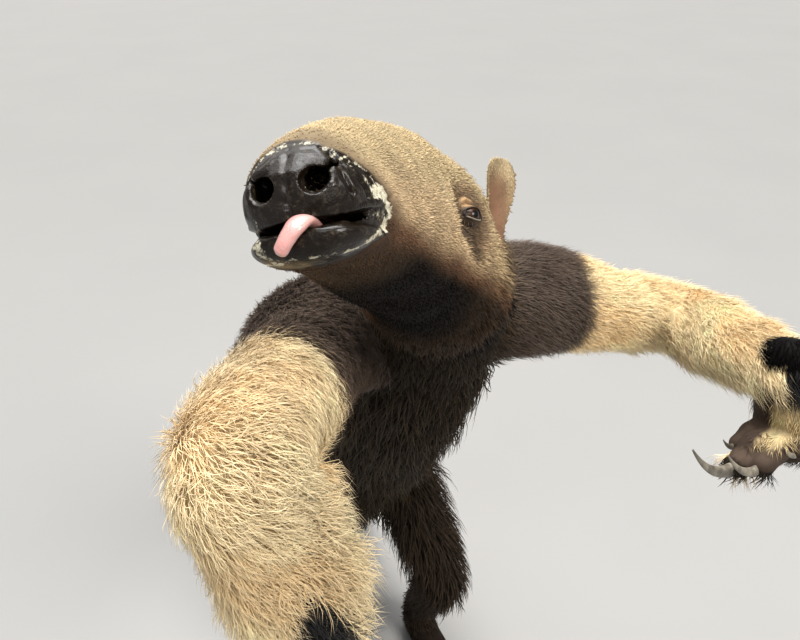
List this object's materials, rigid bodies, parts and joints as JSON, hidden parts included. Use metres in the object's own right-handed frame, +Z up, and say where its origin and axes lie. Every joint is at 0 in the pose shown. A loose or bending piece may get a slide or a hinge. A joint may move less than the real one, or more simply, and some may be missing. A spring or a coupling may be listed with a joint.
{
  "type": "giant anteater",
  "caption": "Life-size giant anteater reared on its hind feet and tail, forelegs raised and spread, head up and turned, tongue tip out, as a still museum model.",
  "frame": {"origin": "on the floor under the middle of the whole animal's box, tail and raised forelegs included", "axes": "+X to the animal's left, +Y backwards along the tail, +Z up; the chest faces -Y"},
  "size_m": [0.6622, 1.6266, 1.2188],
  "materials": {
    "muzzle": "wet black skin",
    "face": "short brown fur",
    "dark_coat": "coarse dark brown hair",
    "pale_coat": "bristly cream hair",
    "horn": "grey horn",
    "tongue": "wet pink skin",
    "eye": "wet dark brown"
  },
  "bodies": {
    "root": {"eye_left": "eye", "eye_right": "eye", "tongue": "tongue", "lower_jaw": "muzzle", "muzzle": "muzzle", "snout": "face", "head": "face", "ear_left": "face", "ear_right": "face", "neck": "dark_coat", "chest": "dark_coat", "abdomen": "dark_coat", "rump": "dark_coat", "shoulder_left": "dark_coat", "upper_arm_left": "pale_coat", "forearm_left": "pale_coat", "hand_left": "dark_coat", "hand_left_claw_first": "horn", "hand_left_claw_second": "horn", "hand_left_claw_third": "horn", "hand_left_claw_fourth": "horn", "shoulder_right": "dark_coat", "upper_arm_right": "pale_coat", "forearm_right": "pale_coat", "hand_right": "dark_coat", "hand_right_claw_first": "horn", "hand_right_claw_second": "horn", "hand_right_claw_third": "horn", "hand_right_claw_fourth": "horn", "thigh_left": "dark_coat", "shin_left": "dark_coat", "foot_left": "dark_coat", "foot_left_claw_first": "horn", "foot_left_claw_second": "horn", "foot_left_claw_third": "horn", "foot_left_claw_fourth": "horn", "foot_left_claw_fifth": "horn", "thigh_right": "dark_coat", "shin_right": "dark_coat", "foot_right": "dark_coat", "foot_right_claw_first": "horn", "foot_right_claw_second": "horn", "foot_right_claw_third": "horn", "foot_right_claw_fourth": "horn", "foot_right_claw_fifth": "horn", "tail_root": "dark_coat", "tail_base": "dark_coat", "tail_middle": "dark_coat", "tail_end": "dark_coat"}
  },
  "joints": []
}
